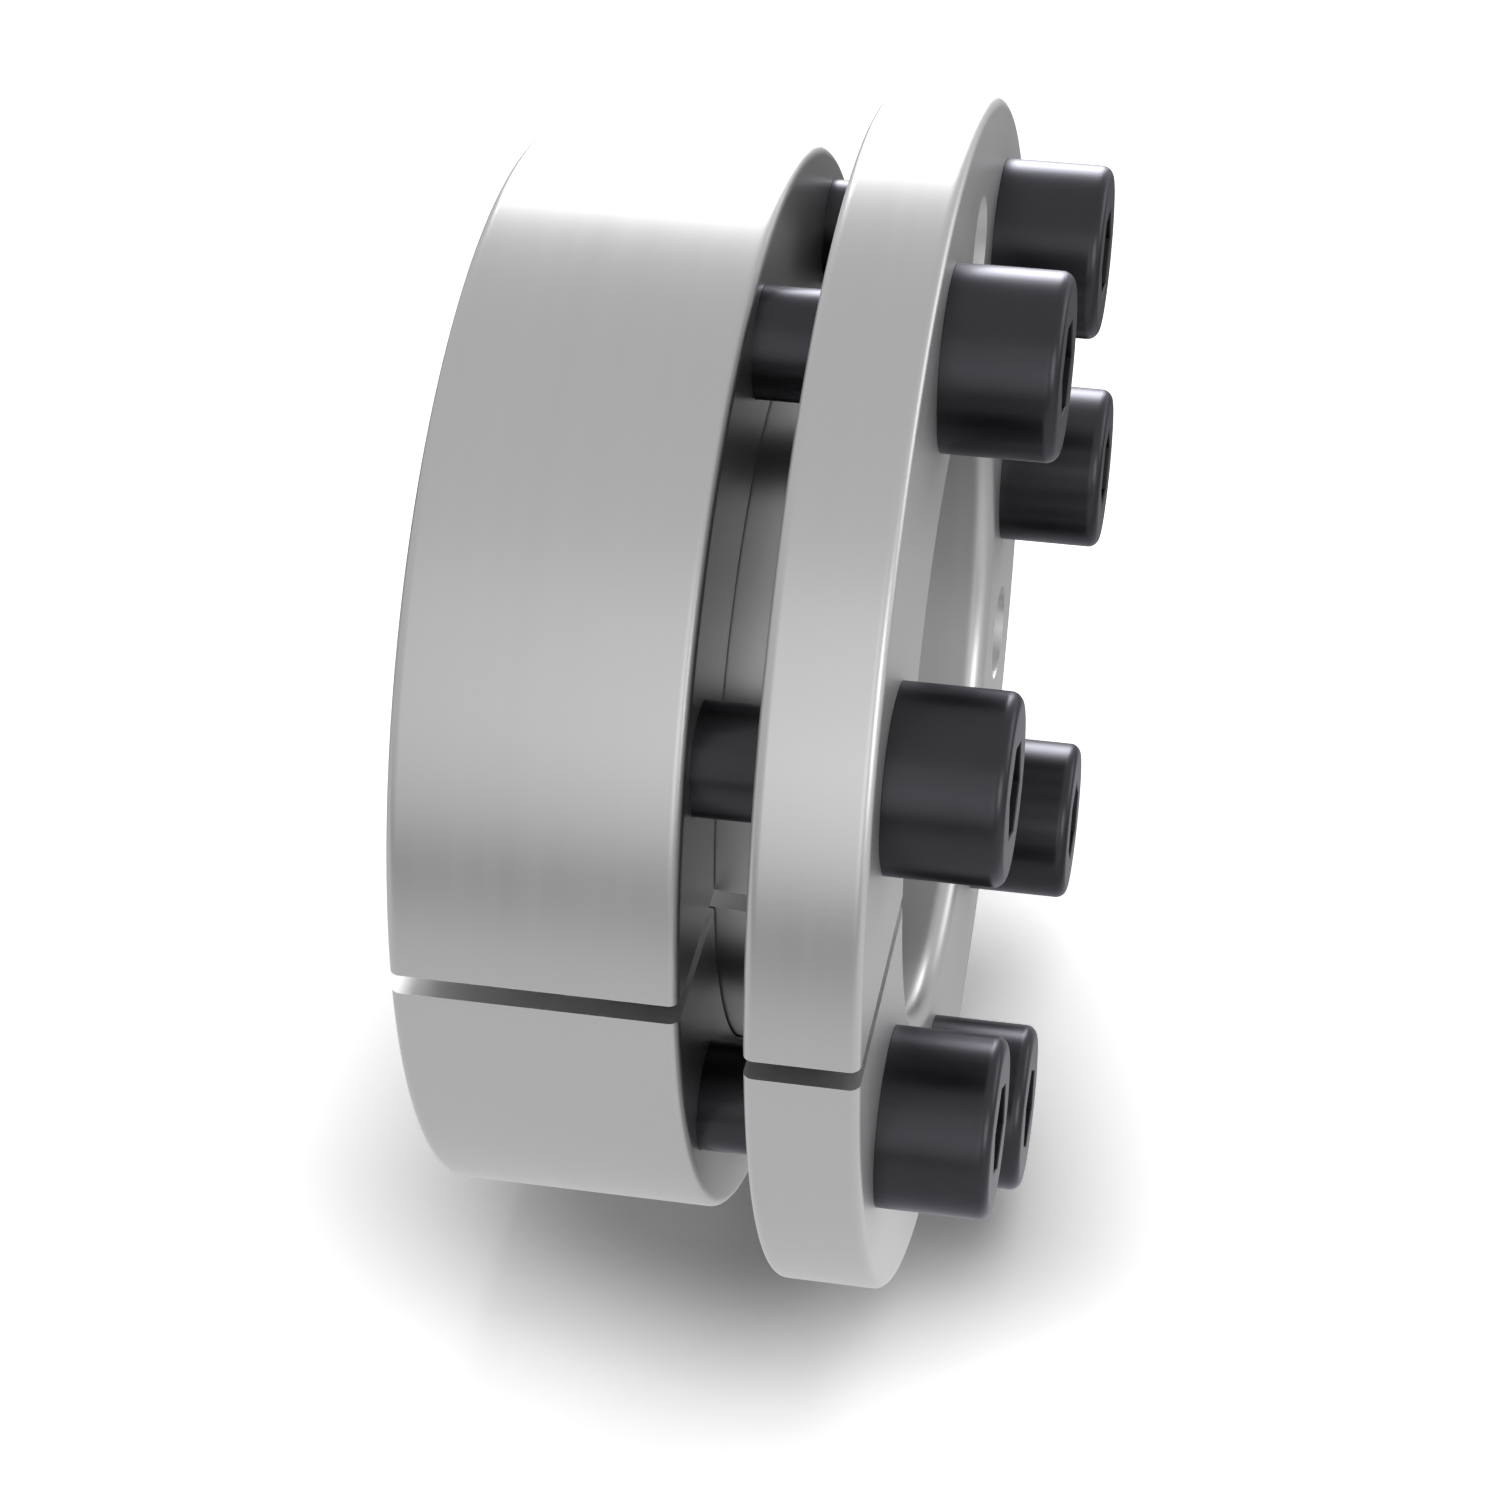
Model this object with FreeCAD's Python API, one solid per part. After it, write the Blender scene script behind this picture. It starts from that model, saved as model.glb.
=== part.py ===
import FreeCAD, Part
import math
import os

# Keyless locking assembly for a plain shaft, in millimetres.
# It stands on the free end of the outer ring: Z is the shaft's axis, Z = 0 is that end face,
# and the screw heads are on top. The slit through both rings is on the -Y side.

# Shaft and sleeve
shaft_diameter = 48.0
sleeve_wall = 3.1
cone_half_angle = 4.0
cone_clearance = 0.3

# Outer ring
ring_width = 20.0
wall_inside_screws = 2.93
wall_outside_screws = 1.72

# Flange, which is one piece with the sleeve
flange_overhang = 4.5
flange_thickness = 7.85
flange_gap = 5.15
clamp_stroke = 2.0
sleeve_end_margin = 0.5

# Slit through both rings
slit_width = 1.55

# Cap screws, size M8 with a 6 mm hexagon
screw_count = 7
thread_diameter = 7.87
thread_play = 0.04
screw_length = 25.0
screw_tip_chamfer = 0.9
flange_hole_play = 0.57
head_diameter = 13.0
head_height = 8.0
hexagon_across_flats = 6.0
hexagon_depth = 4.0
hexagon_drill_angle = 120.0

# Push-off holes in the flange, each halfway between two screws, counted from the slit
push_off_places = (1, 3, 5)

# Edges
rim_round = 0.75
bore_edge_round = 1.6
sleeve_root_round = 0.8
sleeve_end_chamfer = 0.4
ring_bore_chamfer = 0.3
tapped_hole_chamfer = 0.5
head_round = 0.9

# Sizes that follow
bore_radius = shaft_diameter / 2.0
taper = math.tan(math.radians(cone_half_angle))
tapped_radius = thread_diameter / 2.0 + thread_play
flange_hole_radius = thread_diameter / 2.0 + flange_hole_play
ring_bore_radius = bore_radius + sleeve_wall + cone_clearance
screw_circle_radius = ring_bore_radius + wall_inside_screws + tapped_radius
ring_radius = screw_circle_radius + tapped_radius + wall_outside_screws
flange_radius = ring_radius + flange_overhang
flange_bottom = ring_width + flange_gap
flange_top = flange_bottom + flange_thickness
sleeve_end = clamp_stroke + sleeve_end_margin
screw_tip = flange_top - screw_length
head_top = flange_top + head_height
screw_pitch_angle = 360.0 / screw_count
slit_angle = -90.0
overcut = 1.0


def sleeve_radius(z):
    """Outer radius of the tapered sleeve at height z, widest at the flange."""
    return bore_radius + sleeve_wall + (z - ring_width) * taper


def cone_seat_radius(z):
    """Radius of the outer ring's tapered bore at height z."""
    return sleeve_radius(z) + cone_clearance


def on_circle(radius, angle, z):
    """The point at this radius and angle round the shaft's axis."""
    turn = math.radians(angle)
    return FreeCAD.Vector(radius * math.cos(turn), radius * math.sin(turn), z)


def rounded_outline(corners):
    """A closed outline in the XZ plane from (radius, height, rounding) corners."""
    points = [FreeCAD.Vector(r, 0, z) for r, z, rounding in corners]
    edges = []
    ends = []
    for i, (r, z, rounding) in enumerate(corners):
        here = points[i]
        back = (points[i - 1] - here).normalize()
        ahead = (points[(i + 1) % len(points)] - here).normalize()
        if rounding == 0:
            ends.append((here, here))
            continue
        half_angle = back.getAngle(ahead) / 2.0
        reach = rounding / math.tan(half_angle)
        start = here + back * reach
        finish = here + ahead * reach
        inward = (back + ahead).normalize()
        middle = here + inward * (rounding / math.sin(half_angle) - rounding)
        edges.append(Part.Arc(start, middle, finish).toShape())
        ends.append((start, finish))
    for i in range(len(ends)):
        start = ends[i][1]
        finish = ends[(i + 1) % len(ends)][0]
        edges.append(Part.LineSegment(start, finish).toShape())
    return Part.Wire(Part.__sortEdges__(edges))


def turned(corners):
    """A solid turned about the Z axis from an outline of corners."""
    face = Part.Face(rounded_outline(corners))
    solid = face.revolve(FreeCAD.Vector(0, 0, 0), FreeCAD.Vector(0, 0, 1), 360)
    return solid


def drill(radius, place, top):
    """A round cutter from this place up to the given height."""
    return Part.makeCylinder(radius, top - place.z, place, FreeCAD.Vector(0, 0, 1))


def lead_in(radius, chamfer, place):
    """A cutter for the chamfer at the lower mouth of a hole."""
    below = place - FreeCAD.Vector(0, 0, overcut)
    height = chamfer + overcut
    return Part.makeCone(radius + height, radius, height, below, FreeCAD.Vector(0, 0, 1))


def slit(outer_radius, bottom, top):
    """A cutter for the slit, from inside the bore out past the rim."""
    length = outer_radius + overcut
    height = top - bottom + 2 * overcut
    cutter = Part.makeBox(length, slit_width, height)
    cutter.translate(FreeCAD.Vector(0, -slit_width / 2.0, bottom - overcut))
    cutter.rotate(FreeCAD.Vector(0, 0, 0), FreeCAD.Vector(0, 0, 1), slit_angle)
    return cutter


def screw_angle(number):
    """Angle of a screw round the axis; the slit lies halfway between the first and the last."""
    return slit_angle + (number - 0.5) * screw_pitch_angle


def make_outer_ring():
    """Split ring with a tapered bore and a tapped hole for each screw."""
    body = turned([
        (cone_seat_radius(ring_bore_chamfer), ring_bore_chamfer, 0),
        (cone_seat_radius(0) + ring_bore_chamfer, 0, 0),
        (ring_radius, 0, rim_round),
        (ring_radius, ring_width, rim_round),
        (cone_seat_radius(ring_width), ring_width, 0),
    ])
    cutters = [slit(ring_radius, 0, ring_width)]
    for number in range(1, screw_count + 1):
        mouth = on_circle(screw_circle_radius, screw_angle(number), 0)
        start = mouth - FreeCAD.Vector(0, 0, overcut)
        cutters.append(drill(tapped_radius, start, ring_width + overcut))
        cutters.append(lead_in(tapped_radius, tapped_hole_chamfer, mouth))
    return body.cut(cutters)


def make_inner_ring():
    """Tapered sleeve and flange in one piece, with screw holes, push-off holes and the slit."""
    chamfer_top = sleeve_end + sleeve_end_chamfer
    body = turned([
        (bore_radius, chamfer_top, 0),
        (bore_radius + sleeve_end_chamfer, sleeve_end, 0),
        (sleeve_radius(sleeve_end) - sleeve_end_chamfer, sleeve_end, 0),
        (sleeve_radius(chamfer_top), chamfer_top, 0),
        (sleeve_radius(flange_bottom), flange_bottom, sleeve_root_round),
        (flange_radius, flange_bottom, rim_round),
        (flange_radius, flange_top, rim_round),
        (bore_radius, flange_top, bore_edge_round),
    ])
    cutters = [slit(flange_radius, sleeve_end, flange_top)]
    low = flange_bottom - overcut
    high = flange_top + overcut
    for number in range(1, screw_count + 1):
        place = on_circle(screw_circle_radius, screw_angle(number), low)
        cutters.append(drill(flange_hole_radius, place, high))
    for place_number in push_off_places:
        angle = slit_angle + place_number * screw_pitch_angle
        place = on_circle(screw_circle_radius, angle, low)
        cutters.append(drill(tapped_radius, place, high))
    return body.cut(cutters)


def hexagon_socket():
    """A cutter for the key socket: a hexagon with the cone that the drill leaves below it."""
    corner_radius = hexagon_across_flats / math.sqrt(3)
    floor = head_top - hexagon_depth
    corners = [on_circle(corner_radius, 60 * i, floor) for i in range(6)]
    face = Part.Face(Part.makePolygon(corners + corners[:1]))
    prism = face.extrude(FreeCAD.Vector(0, 0, hexagon_depth + overcut))
    drill_radius = hexagon_across_flats / 2.0
    cone_depth = drill_radius / math.tan(math.radians(hexagon_drill_angle / 2.0))
    tip = FreeCAD.Vector(0, 0, floor - cone_depth)
    cone = Part.makeCone(0, drill_radius, cone_depth, tip, FreeCAD.Vector(0, 0, 1))
    return prism.fuse(cone)


def make_screw(number):
    """Socket-head cap screw, seated on the flange and screwed into the outer ring."""
    shank_radius = thread_diameter / 2.0
    body = turned([
        (0, screw_tip, 0),
        (shank_radius - screw_tip_chamfer, screw_tip, 0),
        (shank_radius, screw_tip + screw_tip_chamfer, 0),
        (shank_radius, flange_top, 0),
        (head_diameter / 2.0, flange_top, 0),
        (head_diameter / 2.0, head_top, head_round),
        (0, head_top, 0),
    ])
    screw = body.cut(hexagon_socket())
    screw.translate(FreeCAD.Vector(screw_circle_radius, 0, 0))
    screw.rotate(FreeCAD.Vector(0, 0, 0), FreeCAD.Vector(0, 0, 1), screw_angle(number))
    return screw


def save(shape, node):
    """Write one piece, after making sure that it is a single valid solid."""
    solid = shape.Solids[0]
    if len(shape.Solids) != 1 or not solid.isValid():
        raise RuntimeError(node + " is not one valid solid")
    solid.exportStep("parts/" + node + ".step")
    print(node, "volume %.1f mm3" % solid.Volume)


os.makedirs("parts", exist_ok=True)
save(make_outer_ring(), "outer_ring")
save(make_inner_ring(), "inner_ring")
for screw_number in range(1, screw_count + 1):
    save(make_screw(screw_number), "clamp_screw_%d" % screw_number)
print("outer ring diameter %.2f, flange diameter %.2f" % (2 * ring_radius, 2 * flange_radius))
print("screw circle diameter %.2f, height over the heads %.2f" % (2 * screw_circle_radius, head_top))
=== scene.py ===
import bpy
import math
from mathutils import Matrix, Vector


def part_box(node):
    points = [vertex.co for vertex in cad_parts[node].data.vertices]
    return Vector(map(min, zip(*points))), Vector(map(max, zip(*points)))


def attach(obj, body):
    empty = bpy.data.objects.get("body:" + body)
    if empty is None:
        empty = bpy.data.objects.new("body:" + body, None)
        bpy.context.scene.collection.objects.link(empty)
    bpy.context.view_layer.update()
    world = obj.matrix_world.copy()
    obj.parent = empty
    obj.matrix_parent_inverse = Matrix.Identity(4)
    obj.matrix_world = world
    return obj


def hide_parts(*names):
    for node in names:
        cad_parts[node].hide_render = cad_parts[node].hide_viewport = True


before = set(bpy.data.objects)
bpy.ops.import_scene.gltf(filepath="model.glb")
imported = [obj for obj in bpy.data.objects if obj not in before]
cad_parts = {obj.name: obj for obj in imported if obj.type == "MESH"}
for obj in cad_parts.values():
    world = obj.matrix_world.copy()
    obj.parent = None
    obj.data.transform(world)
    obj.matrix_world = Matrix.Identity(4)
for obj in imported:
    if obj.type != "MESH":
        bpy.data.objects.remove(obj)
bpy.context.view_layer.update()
mm = 0.001

# Outer ring: turned from steel bar and bored to a slight taper, with seven tapped holes and one saw slit.
# It stands on its free end, and the sleeve spreads it against the hub when the screws are tightened.
# Its skin is bare satin steel with very fine lines from the turning tool, which run round the shaft's axis;
# its tapped holes and slit are painted paler, as painted light.
ring_low, ring_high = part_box("outer_ring")
ring_radius = ring_high.x
ring_width = ring_high.z - ring_low.z
seat_radius = 27.27 * mm
seat_edge = 0.12 * mm
cone_half_angle = math.radians(4.0)
rim_rounding = 0.75 * mm
seat_chamfer = 0.3 * mm
slit_width = 1.55 * mm
slit_direction = math.radians(-90.0)
screw_count = 7
screw_step = 2.0 * math.pi / screw_count
screw_circle = 34.305 * mm
tapped_radius = 3.975 * mm
tapped_chamfer = 0.5 * mm
thread_pitch = 1.25 * mm
screw_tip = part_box("clamp_screw_1")[0].z
shown_thread = 9.5 * mm
# the thread's shape, in shares of its pitch
groove_half = 2.0 / 16.0
thread_flank = 5.0 / 16.0
ring_steps = 240
hole_steps = 60
rim_steps = 8
rows_per_pitch = 16
turn = 2.0 * math.pi


class Wire:
    """A socket in a node tree. Sums written with it add Math nodes, and node() adds any other kind."""

    def __init__(self, tree, socket=None):
        self.tree = tree
        self.socket = socket

    def node(self, kind, settings=None, inputs=None, output=0):
        """A new node, its settings made first and then its inputs; gives one of its outputs."""
        made = self.tree.nodes.new(kind)
        for name, value in (settings or {}).items():
            if name == "items":
                while len(made.index_switch_items) < value:
                    made.index_switch_items.new()
            else:
                setattr(made, name, value)
        for key, value in (inputs or {}).items():
            for single in value if isinstance(value, list) else [value]:
                if isinstance(single, Wire):
                    self.tree.links.new(single.socket, made.inputs[key])
                else:
                    made.inputs[key].default_value = single
        return Wire(self.tree, made.outputs[output])

    def out(self, name):
        """Another output of the node that this one comes from."""
        return Wire(self.tree, self.socket.node.outputs[name])

    def maths(self, operation, *values):
        return self.node("ShaderNodeMath", {"operation": operation}, dict(enumerate(values)))

    def __add__(self, other):
        return self.maths("ADD", self, other)

    def __radd__(self, other):
        return self.maths("ADD", other, self)

    def __sub__(self, other):
        return self.maths("SUBTRACT", self, other)

    def __rsub__(self, other):
        return self.maths("SUBTRACT", other, self)

    def __mul__(self, other):
        return self.maths("MULTIPLY", self, other)

    def __rmul__(self, other):
        return self.maths("MULTIPLY", other, self)

    def __truediv__(self, other):
        return self.maths("DIVIDE", self, other)

    def __rtruediv__(self, other):
        return self.maths("DIVIDE", other, self)

    def __pow__(self, other):
        return self.maths("POWER", self, other)

    def __lt__(self, other):
        return self.maths("LESS_THAN", self, other)

    def __gt__(self, other):
        return self.maths("GREATER_THAN", self, other)

    def between(self, low, high):
        return self.maths("MINIMUM", self.maths("MAXIMUM", self, low), high)

    def clamped(self):
        return self.between(0.0, 1.0)

    def rounded(self):
        return self.maths("ROUND", self)

    def rounded_up(self):
        return self.maths("CEIL", self)

    def sine(self):
        return self.maths("SINE", self)

    def cosine(self):
        return self.maths("COSINE", self)


def new_plan(name, sizes):
    """A Geometry Nodes tree with a named input for each size, and those inputs by name."""
    plan = bpy.data.node_groups.new(name, "GeometryNodeTree")
    plan.interface.new_socket("Result", in_out="OUTPUT", socket_type="NodeSocketGeometry")
    for size in sizes:
        plan.interface.new_socket(size, in_out="INPUT", socket_type="NodeSocketFloat")
    given = plan.nodes.new("NodeGroupInput")
    return plan, Wire(plan), {size: Wire(plan, given.outputs[size]) for size in sizes}


def arc_rows(middle, height, rounding, begin, end, steps):
    """Outline rows along an arc, in degrees, with one close row before it and one after it."""
    close_by = 0.12
    rows = []
    way = close_by if end > begin else -close_by
    for step in range(-1, steps + 2):
        sweep = math.radians(begin + (end - begin) * min(max(step / steps, 0.0), 1.0))
        lead = way * ((step > steps) - (step < 0))
        across = math.cos(sweep) - lead * math.sin(sweep)
        along = math.sin(sweep) + lead * math.cos(sweep)
        rows.append((middle + rounding * across, height + rounding * along))
    return rows


def picked(start, number, values):
    """The value whose place in the list is this number."""
    table = dict(enumerate([number] + list(values)))
    return start.node("GeometryNodeIndexSwitch", {"data_type": "FLOAT", "items": len(values)}, table)


def turned_skin(start, columns, row_count, outline):
    """A closed skin turned round Z; outline gives radius and height from the angle and the row's number."""
    grid = start.node(
        "GeometryNodeMeshGrid",
        inputs={"Size X": 1.0, "Size Y": 1.0, "Vertices X": columns + 1, "Vertices Y": row_count},
    )
    spot = start.node("ShaderNodeSeparateXYZ", inputs={0: start.node("GeometryNodeInputPosition")})
    angle = (spot.out("X") + 0.5) * turn
    row = ((spot.out("Y") + 0.5) * (row_count - 1)).rounded()
    radius, height = outline(angle, row)
    place = start.node(
        "ShaderNodeCombineXYZ", inputs={0: radius * angle.cosine(), 1: radius * angle.sine(), 2: height}
    )
    moved = start.node("GeometryNodeSetPosition", inputs={"Geometry": grid, "Position": place})
    seam_width = 0.001 * mm
    return start.node("GeometryNodeMergeByDistance", inputs={"Geometry": moved, "Distance": seam_width})


def turned_rows(start, columns, rows):
    """A closed skin turned round Z from a list of rows of radius and height."""
    def outline(angle, number):
        radius = picked(start, number, [row[0] for row in rows])
        return radius, picked(start, number, [row[1] for row in rows])

    return turned_skin(start, columns, len(rows), outline)


def round_circle(start, count, radius, first, step, height):
    """Points on a circle round the axis, from the first angle on, and the angle of each."""
    angle = first + start.node("GeometryNodeInputIndex") * step
    place = start.node(
        "ShaderNodeCombineXYZ", inputs={0: radius * angle.cosine(), 1: radius * angle.sine(), 2: height}
    )
    return start.node("GeometryNodePoints", inputs={"Count": count, "Position": place}), angle


def stood_on(start, shape, points, angle):
    """The shape on each point, turned to that point's angle, as real mesh."""
    facing = start.node("ShaderNodeCombineXYZ", inputs={2: angle})
    rotation = start.node("FunctionNodeEulerToRotation", inputs={0: facing})
    placed = start.node(
        "GeometryNodeInstanceOnPoints", inputs={"Points": points, "Instance": shape, "Rotation": rotation}
    )
    return start.node("GeometryNodeRealizeInstances", inputs={0: placed})


def slit_cutter(start, width, reach, height):
    """A thin box from the axis out past the rim on the -Y side, and through the whole height."""
    size = start.node("ShaderNodeCombineXYZ", inputs={0: width, 1: reach, 2: height * 2.0})
    block = start.node("GeometryNodeMeshCube", inputs={"Size": size})
    shift = start.node("ShaderNodeCombineXYZ", inputs={1: reach * -0.5, 2: height * 0.5})
    return start.node("GeometryNodeTransform", inputs={"Geometry": block, "Translation": shift})


def cut_away(start, body, cutters):
    """The body with the cutters taken away."""
    tools = start.node("GeometryNodeJoinGeometry", inputs={0: cutters})
    return start.node(
        "GeometryNodeMeshBoolean",
        {"operation": "DIFFERENCE", "solver": "EXACT"},
        {"Mesh 1": body, "Mesh 2": tools},
    )


def close_plan(start, shape, finish):
    """End a tree: smooth faces with crisp edges, real mesh, and the finish."""
    crisp_angle = math.radians(30.0)
    smooth = start.node(
        "GeometryNodeSetShadeSmooth",
        {"domain": "FACE"},
        {"Geometry": shape, "Shade Smooth": True},
    )
    bent = start.node("GeometryNodeInputMeshEdgeAngle") > crisp_angle
    crisp = start.node(
        "GeometryNodeSetShadeSmooth",
        {"domain": "EDGE"},
        {"Geometry": smooth, "Selection": bent, "Shade Smooth": False},
    )
    real = start.node("GeometryNodeRealizeInstances", inputs={0: crisp})
    dressed = start.node("GeometryNodeSetMaterial", inputs={"Geometry": real, "Material": finish})
    ending = start.tree.nodes.new("NodeGroupOutput")
    start.tree.links.new(dressed.socket, ending.inputs[0])


def from_plan(name, plan, sizes):
    """A plain mesh object made by a tree at these sizes."""
    piece = bpy.data.objects.new(name, bpy.data.meshes.new(name + "_blank"))
    bpy.context.scene.collection.objects.link(piece)
    modifier = piece.modifiers.new("plan", "NODES")
    modifier.node_group = plan
    for item in plan.interface.items_tree:
        if item.in_out == "INPUT":
            modifier[item.identifier] = float(sizes[item.name])
    shaped = piece.evaluated_get(bpy.context.evaluated_depsgraph_get())
    mesh = bpy.data.meshes.new_from_object(shaped)
    while mesh.materials[0] is None:
        mesh.materials.pop(index=0)
    piece.modifiers.remove(modifier)
    piece.data = mesh
    return piece


def helix_height(row, angle, pitch, length):
    """Height over the thread's start of a row that follows the helix, held between its two ends."""
    return (((row / rows_per_pitch) - 1.0 + angle / turn) * pitch).between(0.0, length)


def from_crest(angle, turns_up):
    """How far a place is from the screw thread's crest, from 0 on it to 0.5 midway between two turns."""
    turns = angle.maths("FRACT", turns_up - angle / turn)
    return 0.5 - angle.maths("ABSOLUTE", turns - 0.5)


def new_finish(name):
    """A node material, its Principled shader and the start of its expressions."""
    finish = bpy.data.materials.new(name)
    finish.use_nodes = True
    start = Wire(finish.node_tree)
    return finish, finish.node_tree.nodes["Principled BSDF"], start


def feed(start, shader, socket, value):
    """Lead a varying value into one socket of the shader."""
    start.tree.links.new(value.socket, shader.inputs[socket])


def turned_steel(
    name,
    colour,
    roughness,
    face_roughness,
    face_painted_light,
    tool_feed,
    line_depth,
    first_hole,
    hole_step,
    bore_reach,
):
    """Bare turned steel with tool lines round Z; end faces, bore and tapped holes differ in roughness, and
    end faces, slit, bore and tapped holes are painted paler: painted light.
    """
    # Painted light: the paler amounts lift the steel's colour in the tapped holes, slit and bore, and on end
    # faces, though the real steel has one colour there; the rougher amounts are real.
    hole_painted_light = 1.0
    hole_rougher = 0.16
    slit_painted_light = 0.6
    bore_painted_light = 0.12
    bore_rougher = 0.12
    finish, shader, start = new_finish(name)
    place = start.node("ShaderNodeTexCoord").out("Object")
    axes = start.node("ShaderNodeSeparateXYZ", inputs={0: place})
    across = axes.out("X")
    along = axes.out("Y")
    radius = (across ** 2.0 + along ** 2.0) ** 0.5
    along_cut = (radius + axes.out("Z")) / tool_feed
    lines = start.node(
        "ShaderNodeTexNoise",
        {"noise_dimensions": "1D"},
        {"W": along_cut, "Scale": 1.0, "Detail": 2.0, "Roughness": 0.6},
    )
    bands = start.node(
        "ShaderNodeTexNoise",
        {"noise_dimensions": "1D"},
        {"W": along_cut, "Scale": 0.06, "Detail": 1.0},
    )
    clouds = start.node("ShaderNodeTexNoise", inputs={"Vector": place, "Scale": 55.0, "Detail": 3.0})
    grain = start.node("ShaderNodeTexNoise", inputs={"Vector": place, "Scale": 9000.0, "Detail": 1.0})

    around = axes.maths("FLOORED_MODULO", axes.maths("ARCTAN2", along, across) - slit_direction, turn)
    half_step = 0.5 * hole_step
    from_hole = axes.maths("FLOORED_MODULO", around - first_hole + half_step, hole_step) - half_step
    off_middle = radius * from_hole.cosine() - screw_circle
    off_hole = (off_middle ** 2.0 + (radius * from_hole.sine()) ** 2.0) ** 0.5
    before_slit = around < turn - 0.2 * screw_step
    in_hole = (off_hole < tapped_radius + 0.01 * mm) * before_slit
    in_slit = (axes.maths("ABSOLUTE", across) < 0.51 * slit_width) * (along < 0.0)
    in_bore = radius < bore_reach
    facing = start.node("ShaderNodeNewGeometry").out("Normal")
    upright = start.node("ShaderNodeSeparateXYZ", inputs={0: facing}).out("Z")
    end_face = axes.maths("ABSOLUTE", upright) ** 4.0

    shade = 1.0 + 0.03 * (bands - 0.5) + 0.04 * (clouds - 0.5) + 0.03 * (lines - 0.5)
    # painted light: tapped holes, slit, end faces and bore are made paler
    shade = shade + hole_painted_light * in_hole + slit_painted_light * in_slit
    shade = shade + face_painted_light * end_face + bore_painted_light * in_bore
    tinted = start.node("ShaderNodeVectorMath", {"operation": "SCALE"}, {0: colour, "Scale": shade})
    feed(start, shader, "Base Color", tinted)
    dullness = roughness + (face_roughness - roughness) * end_face
    dullness = dullness + hole_rougher * in_hole + bore_rougher * in_bore
    feed(start, shader, "Roughness", dullness + 0.04 * (bands - 0.5) + 0.04 * (clouds - 0.5))
    height = 0.8 * lines + 0.2 * grain
    bump = start.node("ShaderNodeBump", inputs={"Strength": 1.0, "Distance": line_depth, "Height": height})
    feed(start, shader, "Normal", bump)
    shader.inputs["Metallic"].default_value = 1.0
    return finish


ring_sizes = {
    "Ring Radius": ring_radius,
    "Ring Width": ring_width,
    "Seat Radius": seat_radius,
    "Seat Half Angle": cone_half_angle,
    "Seat Chamfer": seat_chamfer,
    "Seat Edge": seat_edge,
    "Rim Rounding": rim_rounding,
    "Slit Width": slit_width,
    "Circle Radius": screw_circle,
    "First Angle": slit_direction + 0.5 * screw_step,
    "Hole Radius": tapped_radius,
    "Hole Chamfer": tapped_chamfer,
    "Thread Pitch": thread_pitch,
    "Thread Depth": 0.60 * mm,
    "Thread End": shown_thread,
    "Screw Tip": screw_tip,
}


def ring_plan(finish):
    """The tree of the outer ring: a turned body less its holes and slit, with the threads in the holes."""
    plan, start, size = new_plan("outer_ring", ring_sizes)
    width = size["Ring Width"]
    edge = size["Rim Rounding"]
    rim = size["Ring Radius"] - edge
    taper = size["Seat Half Angle"].maths("TANGENT", size["Seat Half Angle"])
    chamfer = size["Seat Chamfer"]
    low_seat = size["Seat Radius"] - width * taper
    rows = arc_rows(rim, edge, edge, -90.0, 0.0, rim_steps)
    rows += arc_rows(rim, width - edge, edge, 0.0, 90.0, rim_steps)
    rows.append((size["Seat Radius"] + size["Seat Edge"], width))
    rows.append((size["Seat Radius"], width - size["Seat Edge"]))
    rows.append((low_seat + chamfer * taper, chamfer))
    rows.append((low_seat + chamfer, 0.0))
    rows.append(rows[0])
    body = turned_rows(start, ring_steps, rows)
    hole = size["Hole Radius"]
    mouth = size["Hole Chamfer"]
    over = 1.0 * mm
    wide_mouth = hole + mouth + over
    cutter = [(0.0, -over), (wide_mouth, -over), (hole, mouth), (hole, width + over), (0.0, width + over)]
    bore = turned_rows(start, hole_steps, cutter)
    circle = size["Circle Radius"]
    points, angle = round_circle(start, screw_count, circle, size["First Angle"], screw_step, 0.0)
    bores = stood_on(start, bore, points, angle)
    slit = slit_cutter(start, size["Slit Width"], size["Ring Radius"] + over, width)
    cut = cut_away(start, body, [bores, slit])

    lowest = mouth * 0.9
    length = size["Thread End"] - lowest
    pitch = size["Thread Pitch"]
    helix_rows = ((length / pitch + 1.0) * rows_per_pitch).rounded_up()

    def thread_outline(angle, row):
        # rows 0 and 1 go up inside the steel, the helix comes down, and the last row closes the skin
        on_helix = (row > 1.5) * (row < helix_rows + 2.5)
        height = lowest + helix_height(helix_rows + 2.0 - row, angle, pitch, length)
        crest = from_crest(angle, (height - size["Screw Tip"]) / pitch)
        fade = ((size["Thread End"] - height) / pitch).clamped()
        ridge = ((crest - groove_half) * (1.0 / thread_flank)).clamped() * fade
        skin = hole + 0.02 * mm
        inner = row.maths("MAXIMUM", skin - size["Thread Depth"] * ridge, skin + mouth - height)
        buried = hole + 0.25 * mm
        top = (row > 0.5) * (row < 1.5)
        end_height = lowest + top * length
        return (
            on_helix * inner + (1.0 - on_helix) * buried,
            on_helix * height + (1.0 - on_helix) * end_height,
        )

    thread = turned_skin(start, hole_steps, helix_rows + 4.0, thread_outline)
    threads = stood_on(start, thread, points, angle)
    close_plan(start, start.node("GeometryNodeJoinGeometry", inputs={0: [cut, threads]}), finish)
    return plan


ring_steel = turned_steel(
    "ring_steel_turned",
    colour=(0.40, 0.40, 0.402),
    roughness=0.36,
    face_roughness=0.36,
    face_painted_light=0.0,
    tool_feed=0.11 * mm,
    line_depth=0.0006 * mm,
    first_hole=0.5 * screw_step,
    hole_step=screw_step,
    bore_reach=0.0,
)
outer_ring = from_plan("outer_ring_turned", ring_plan(ring_steel), ring_sizes)
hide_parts("outer_ring")
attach(outer_ring, "outer_ring")

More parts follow.
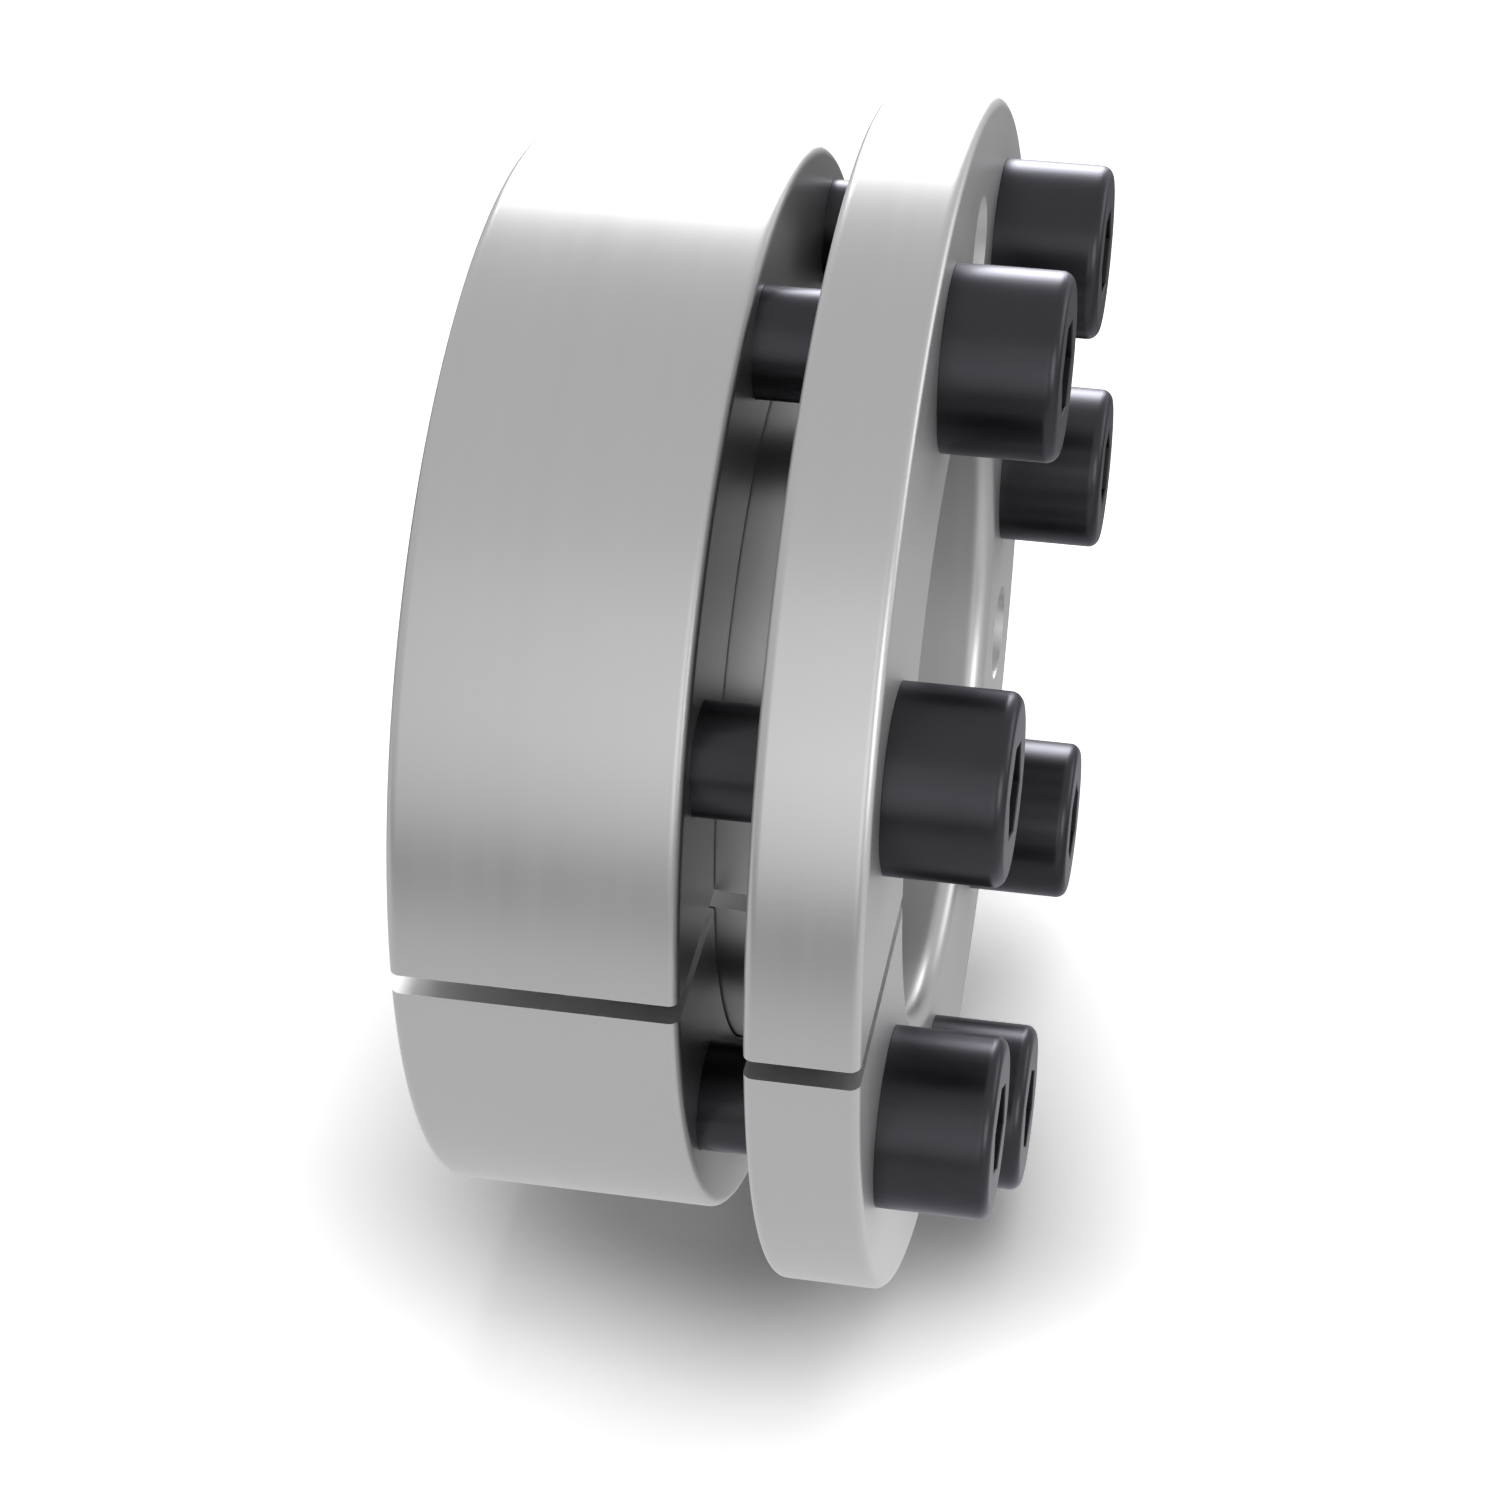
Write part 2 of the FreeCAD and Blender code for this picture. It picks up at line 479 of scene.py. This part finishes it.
# Inner ring: a tapered sleeve and a flange, turned from one piece of the same steel, slit on the same side.
# The flange has a plain hole for each screw, and three tapped holes for screws that push the cone free again.
inner_low, inner_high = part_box("inner_ring")
flange_radius = inner_high.x
flange_top = inner_high.z
sleeve_end = inner_low.z
flange_bottom = 25.15 * mm
shaft_radius = 24.0 * mm
sleeve_radius = 27.1 * mm
push_off_places = 3
entry_steps = 12
inner_sizes = {
    "Shaft Radius": shaft_radius,
    "Sleeve Radius": sleeve_radius,
    "Sleeve End": sleeve_end,
    "Seat Height": ring_width,
    "Seat Half Angle": cone_half_angle,
    "End Chamfer": 0.4 * mm,
    "Root Rounding": 0.8 * mm,
    "Flange Radius": flange_radius,
    "Flange Bottom": flange_bottom,
    "Flange Top": flange_top,
    "Rim Rounding": rim_rounding,
    "Bore Rounding": 1.6 * mm,
    "Slit Width": slit_width,
    "Circle Radius": screw_circle,
    "First Angle": slit_direction + 0.5 * screw_step,
    "Screw Hole Radius": 4.505 * mm,
    "Push Off Angle": slit_direction + screw_step,
    "Push Off Radius": tapped_radius,
}


def flange_plan(finish):
    """The tree of the inner ring: a turned sleeve and flange less their holes and slit."""
    plan, start, size = new_plan("inner_ring", inner_sizes)
    taper = size["Seat Half Angle"].maths("TANGENT", size["Seat Half Angle"])
    slope = size["Seat Half Angle"].cosine()
    low = size["Sleeve End"]
    chamfer = size["End Chamfer"]
    under = size["Flange Bottom"]
    top = size["Flange Top"]
    root = size["Root Rounding"]
    edge = size["Rim Rounding"]
    rim = size["Flange Radius"] - edge
    bore = size["Shaft Radius"]
    entry = size["Bore Rounding"]

    def sleeve(height):
        return size["Sleeve Radius"] + (height - size["Seat Height"]) * taper

    half_angle = math.degrees(cone_half_angle)
    rows = [(sleeve(low) - chamfer, low), (sleeve(low + chamfer), low + chamfer)]
    root_middle = sleeve(under - root) + root / slope
    rows += arc_rows(root_middle, under - root, root, 180.0 - half_angle, 90.0, rim_steps)
    rows += arc_rows(rim, under + edge, edge, -90.0, 0.0, rim_steps)
    rows += arc_rows(rim, top - edge, edge, 0.0, 90.0, rim_steps)
    rows += arc_rows(bore + entry, top - entry, entry, 90.0, 180.0, entry_steps)
    rows.append((bore, low + chamfer))
    rows.append((bore + chamfer, low))
    rows.append(rows[0])
    body = turned_rows(start, ring_steps, rows)
    over = 1.0 * mm
    cutters = [slit_cutter(start, size["Slit Width"], size["Flange Radius"] + over, top)]
    for count, radius, first, step in (
        (screw_count, size["Screw Hole Radius"], size["First Angle"], screw_step),
        (push_off_places, size["Push Off Radius"], size["Push Off Angle"], 2.0 * screw_step),
    ):
        below = under - over
        above = top + over
        cutter = [(0.0, below), (radius, below), (radius, above), (0.0, above)]
        hole = turned_rows(start, hole_steps, cutter)
        points, angle = round_circle(start, count, size["Circle Radius"], first, step, 0.0)
        cutters.append(stood_on(start, hole, points, angle))
    close_plan(start, cut_away(start, body, cutters), finish)
    return plan


# Its end faces and bore get painted light: their colour is made paler than the rest of the steel.
inner_steel = turned_steel(
    "inner_ring_steel_turned",
    colour=(0.40, 0.40, 0.403),
    roughness=0.34,
    face_roughness=0.43,
    face_painted_light=0.20,
    tool_feed=0.09 * mm,
    line_depth=0.0006 * mm,
    first_hole=screw_step,
    hole_step=2.0 * screw_step,
    bore_reach=shaft_radius + 0.05 * mm,
)
inner_ring = from_plan("inner_ring_turned", flange_plan(inner_steel), inner_sizes)
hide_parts("inner_ring")
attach(inner_ring, "inner_ring")

# Cap screws: seven socket-head screws, forged and rolled from alloy steel, and blackened in hot oxide.
# Their heads seat on the flange, and their threads sit in the outer ring and pull the two rings together.
# Each is a turned shape whose outline becomes a hexagon in the socket and a right-hand helix on the thread.
screw_names = ["clamp_screw_%d" % number for number in range(1, screw_count + 1)]
socket_sides = 6
drill_half_angle = math.radians(60.0)
crest_half = 1.0 / 16.0
base_steps = 4
crown_steps = 10
black_roughness = 0.33
black_colour = (0.038, 0.0375, 0.042)
black_edge_tint = (0.80, 0.80, 0.85, 1.0)
screw_sizes = {
    "Head Radius": 6.5 * mm,
    "Head Height": 8.0 * mm,
    "Head Rounding": 0.9 * mm,
    "Base Rounding": 0.06 * mm,
    "Socket Width": 6.0 * mm,
    "Socket Depth": 4.0 * mm,
    "Mouth Bevel": 0.08 * mm,
    "Shank Radius": 3.935 * mm,
    "Screw Length": flange_top - screw_tip,
    "Tip Chamfer": 0.9 * mm,
    "Thread Pitch": thread_pitch,
    "Thread Depth": 0.70 * mm,
    "Thread Length": 11.5 * mm,
    "Circle Radius": screw_circle,
    "Tip Height": screw_tip,
    "Angle": 0.0,
}


def black_oxide(name):
    """Blackened steel: nearly black, slightly violet, with a soft gloss and faint mottling."""
    finish, shader, start = new_finish(name)
    place = start.node("ShaderNodeTexCoord").out("Object")
    clouds = start.node("ShaderNodeTexNoise", inputs={"Vector": place, "Scale": 260.0, "Detail": 2.0})
    grain = start.node("ShaderNodeTexNoise", inputs={"Vector": place, "Scale": 12000.0, "Detail": 0.0})
    shade = 1.0 + 0.22 * (clouds - 0.5) + 0.1 * (grain - 0.5)
    tinted = start.node("ShaderNodeVectorMath", {"operation": "SCALE"}, {0: black_colour, "Scale": shade})
    feed(start, shader, "Base Color", tinted)
    feed(start, shader, "Roughness", black_roughness + 0.06 * (clouds - 0.5))
    bump = start.node("ShaderNodeBump", inputs={"Strength": 1.0, "Distance": 0.001 * mm, "Height": grain})
    feed(start, shader, "Normal", bump)
    shader.inputs["Metallic"].default_value = 1.0
    shader.inputs["Specular Tint"].default_value = black_edge_tint
    return finish


def screw_plan(finish):
    """The tree of one cap screw, from the middle of its tip, up over the head and down into the socket."""
    plan, start, size = new_plan("cap_screw", screw_sizes)
    seat = size["Screw Length"]
    top = seat + size["Head Height"]
    head = size["Head Radius"]
    base = size["Base Rounding"]
    crown = size["Head Rounding"]
    flat = size["Socket Width"] * 0.5
    bevel = size["Mouth Bevel"]
    floor_height = top - size["Socket Depth"]
    rows = [(size["Shank Radius"], seat)]
    rows += arc_rows(head - base, seat + base, base, -90.0, 0.0, base_steps)
    rows += arc_rows(head - crown, top - crown, crown, 0.0, 90.0, crown_steps)
    round_rows = len(rows)
    rows += [(flat + bevel, top), (flat, top - bevel), (flat, floor_height)]
    hexagon_rows = len(rows) - round_rows
    drill_depth = flat / math.tan(drill_half_angle)
    rows += [(flat, floor_height), (0.0, floor_height - drill_depth)]
    hexagon_share = [0.0] * round_rows + [1.0] * hexagon_rows + [0.0, 0.0]
    pitch = size["Thread Pitch"]
    length = size["Thread Length"]
    helix_rows = ((length / pitch + 1.0) * rows_per_pitch).rounded_up() + 1.0

    def outline(angle, row):
        number = row - helix_rows - 1.0
        share = picked(start, number, hexagon_share)
        side = turn / socket_sides
        within = angle.maths("MODULO", angle, side) - side / 2.0
        stretch = 1.0 + share * (1.0 / within.cosine() - 1.0)
        radius = picked(start, number, [row[0] for row in rows]) * stretch
        height = picked(start, number, [row[1] for row in rows])
        helix = helix_height(row - 1.0, angle, pitch, length)
        fade = ((length - helix) / pitch).clamped()
        crest = from_crest(angle, helix / pitch)
        drop = ((crest - crest_half) * (1.0 / thread_flank)).clamped() * fade
        threaded = size["Shank Radius"] - size["Thread Depth"] * drop
        point = size["Shank Radius"] - size["Tip Chamfer"] + helix
        threaded = row.maths("MINIMUM", threaded, point) * (row > 0.5)
        on_helix = row < helix_rows + 0.5
        return (
            on_helix * threaded + (1.0 - on_helix) * radius,
            on_helix * helix + (1.0 - on_helix) * height,
        )

    shape = turned_skin(start, hole_steps, helix_rows + float(len(rows) + 1), outline)
    points, angle = round_circle(start, 1, size["Circle Radius"], size["Angle"], 0.0, size["Tip Height"])
    close_plan(start, stood_on(start, shape, points, angle), finish)
    return plan


cap_screw = screw_plan(black_oxide("screw_black_oxide"))
for place, name in enumerate(screw_names):
    screw_sizes["Angle"] = slit_direction + (place + 0.5) * screw_step
    screw = from_plan("cap_screw_%d" % (place + 1), cap_screw, screw_sizes)
    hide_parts(name)
    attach(screw, name)

# Ground: a plain pale sheet. The flange touches it with its rim, so that the object lies on its side as in
# the photograph, and it takes the object's soft shadow. It is clear from behind and brighter to the camera.
# Part of that soft shadow is a painted shadow: to the camera the sheet is darker in an ellipse round the
# object, which no lamp casts.
ground_place = flange_radius
ground_reach = 0.6
pale = 0.5
shown_pale = 1.66
# painted shadow: its least brightness, its rises and edges, its middle and its shape round the object
painted_shadow_least = 0.44
painted_shadow_inner_rise = 0.90
painted_shadow_inner_edge = (10.0 * mm, 39.0 * mm)
painted_shadow_outer_rise = 0.22
painted_shadow_outer_edge = (30.0 * mm, 48.0 * mm)
painted_shadow_middle = (-10.0 * mm, 0.57 * flange_top)
painted_shadow_narrower_in_front = 1.75
painted_shadow_wider_behind = 0.70
# painted reflection: the sheet glows to glossy rays only, in bands in front, near and far, though it is no
# lamp
front_glow = 0.82
front_begin = (-0.30, -0.10)
near_glow = 0.40
near_begin = (-0.02, 0.02)
near_end = (0.06, 0.12)
far_glow = 0.5
far_begin = (0.16, 0.40)


def pale_sheet(name):
    """Matt white sheet, paler to the camera away from the object: to the camera it carries a painted shadow
    round the object, and in reflections a painted glow.
    """
    sheet = bpy.data.materials.new(name)
    sheet.use_nodes = True
    tree = sheet.node_tree
    tree.nodes.remove(tree.nodes["Principled BSDF"])
    start = Wire(tree)
    path = start.node("ShaderNodeLightPath")
    place = start.node("ShaderNodeSeparateXYZ", inputs={0: start.node("ShaderNodeTexCoord").out("Object")})
    along = place.out("Y")
    # painted shadow: distance from its middle, squeezed in front of the object and widened behind it
    from_middle = along - painted_shadow_middle[0]
    in_front = painted_shadow_narrower_in_front * from_middle.between(-1.0, 0.0)
    behind_it = painted_shadow_wider_behind * from_middle.between(0.0, 1.0)
    off_middle = ((in_front + behind_it) ** 2.0 + (place.out("Z") - painted_shadow_middle[1]) ** 2.0) ** 0.5

    def rise(value, begin, end):
        return start.node(
            "ShaderNodeMapRange",
            {"interpolation_type": "SMOOTHSTEP"},
            {"Value": value, "From Min": begin, "From Max": end},
        )

    inner_painted_shadow = painted_shadow_inner_rise * rise(off_middle, *painted_shadow_inner_edge)
    outer_painted_shadow = painted_shadow_outer_rise * rise(off_middle, *painted_shadow_outer_edge)
    shown = shown_pale * (painted_shadow_least + inner_painted_shadow + outer_painted_shadow)
    seen_colour = start.node("ShaderNodeCombineColor", inputs={0: shown, 1: shown, 2: shown})
    matt = start.node("ShaderNodeBsdfDiffuse", inputs={"Color": (pale, pale, pale, 1.0)})
    seen = start.node("ShaderNodeBsdfDiffuse", inputs={"Color": seen_colour})
    lit = start.node("ShaderNodeMixShader", inputs={0: path.out("Is Camera Ray"), 1: matt, 2: seen})
    # painted reflection: a glow that only glossy rays see
    near = rise(along, *near_begin)
    glow = front_glow * (rise(along, *front_begin) - near)
    glow = glow + near_glow * (near - rise(along, *near_end))
    glow = glow + far_glow * rise(along, *far_begin)
    shine = start.node("ShaderNodeEmission", inputs={"Strength": glow * path.out("Is Glossy Ray")})
    shining = start.node("ShaderNodeAddShader", inputs={0: lit, 1: shine})
    clear = start.node("ShaderNodeBsdfTransparent")
    behind = start.node("ShaderNodeNewGeometry").out("Backfacing")
    front = start.node("ShaderNodeMixShader", inputs={0: behind, 1: shining, 2: clear})
    tree.links.new(front.socket, tree.nodes["Material Output"].inputs["Surface"])
    return sheet


ground_mesh = bpy.data.meshes.new("ground")
ground_mesh.from_pydata(
    [
        (ground_place, -ground_reach, -ground_reach),
        (ground_place, -ground_reach, ground_reach),
        (ground_place, ground_reach, ground_reach),
        (ground_place, ground_reach, -ground_reach),
    ],
    [],
    [(0, 1, 2, 3)],
)
ground_mesh.materials.append(pale_sheet("ground_white_painted_shadow"))
ground = bpy.data.objects.new("ground", ground_mesh)
bpy.context.scene.collection.objects.link(ground)

# Light: a white room; soft lamps beside the camera, behind the object and beyond the screw heads, which only
# show in what shines; and one wide lamp that lights nothing but the ground, and leaves the shadow there.
room_light = 0.37
room = bpy.data.worlds.new("white_room")
bpy.context.scene.world = room
room.use_nodes = True
sky = Wire(room.node_tree)
path = sky.node("ShaderNodeLightPath")
through = sky.maths("MAXIMUM", path.out("Is Glossy Ray"), path.out("Is Transmission Ray"))
shown = sky.maths("MAXIMUM", path.out("Is Camera Ray"), through)
strength = room_light + (1.0 - room_light) * shown
room.node_tree.links.new(strength.socket, room.node_tree.nodes["Background"].inputs["Strength"])
room.node_tree.nodes["Background"].inputs["Color"].default_value = (1.0, 1.0, 1.0, 1.0)
lamp_target = Vector((0.0, 0.0, 20.0)) * mm


def soft_lamp(name, direction, elevation, distance, width, height, power, for_ground):
    """A rectangular lamp turned to the object; it lights either the ground or what shines, and not both."""
    data = bpy.data.lights.new(name, "AREA")
    data.shape = "RECTANGLE"
    data.size = width
    data.size_y = height
    data.energy = power
    lamp = bpy.data.objects.new(name, data)
    lamp.visible_diffuse = for_ground
    lamp.visible_glossy = not for_ground
    bpy.context.scene.collection.objects.link(lamp)
    around = math.radians(direction)
    above = math.radians(elevation)
    level = distance * math.cos(above)
    lamp.location = (level * math.cos(around), level * math.sin(around), distance * math.sin(above))
    lamp.rotation_euler = (lamp_target - lamp.location).to_track_quat("-Z", "Y").to_euler()


# name, direction and elevation in degrees, distance, width and height in metres, watts, for the ground
soft_lamp("back_lamp", 100.0, 0.0, 0.75, 0.30, 0.40, 1.89, False)
soft_lamp("low_back_lamp", 108.0, -8.0, 0.75, 0.30, 0.45, 4.20, False)
soft_lamp("camera_side_lamp", 235.0, 8.0, 0.80, 0.50, 0.45, 0.50, False)
soft_lamp("slit_side_lamp", 258.0, 8.0, 0.80, 0.35, 0.40, 0.40, False)
soft_lamp("high_lamp", 240.0, 55.0, 0.80, 0.35, 0.35, 1.40, False)
soft_lamp("face_lamp", 90.0, 60.0, 0.80, 0.50, 0.50, 1.43, False)
soft_lamp("ground_lamp", 180.0, 15.0, 0.80, 0.70, 0.60, 1.60, True)

# Camera: beside the rings and above the ground that they lie on, turned so that the shaft's axis runs across
# the picture and slightly downhill to the right.
picture_side = 1500
focal_pixels = 3577.09
camera_place = Vector((-155.43766, -218.65810, 59.10990)) * mm
camera_target = Vector((4.49939, -3.34215, 18.08079)) * mm
picture_right = Vector((0.00731088, 0.18193704, 0.98328300))

camera_data = bpy.data.cameras.new("camera")
camera_data.sensor_width = 36.0
camera_data.lens = camera_data.sensor_width * focal_pixels / picture_side
camera_data.clip_start = 0.01
camera_data.clip_end = 20.0
camera = bpy.data.objects.new("camera", camera_data)
bpy.context.scene.collection.objects.link(camera)
ahead = (camera_target - camera_place).normalized()
rightward = (picture_right - ahead * picture_right.dot(ahead)).normalized()
upward = rightward.cross(ahead)
turned = Matrix((rightward, upward, -ahead)).transposed()
camera.matrix_world = Matrix.Translation(camera_place) @ turned.to_4x4()
bpy.context.scene.camera = camera
bpy.context.scene.view_settings.view_transform = "Standard"
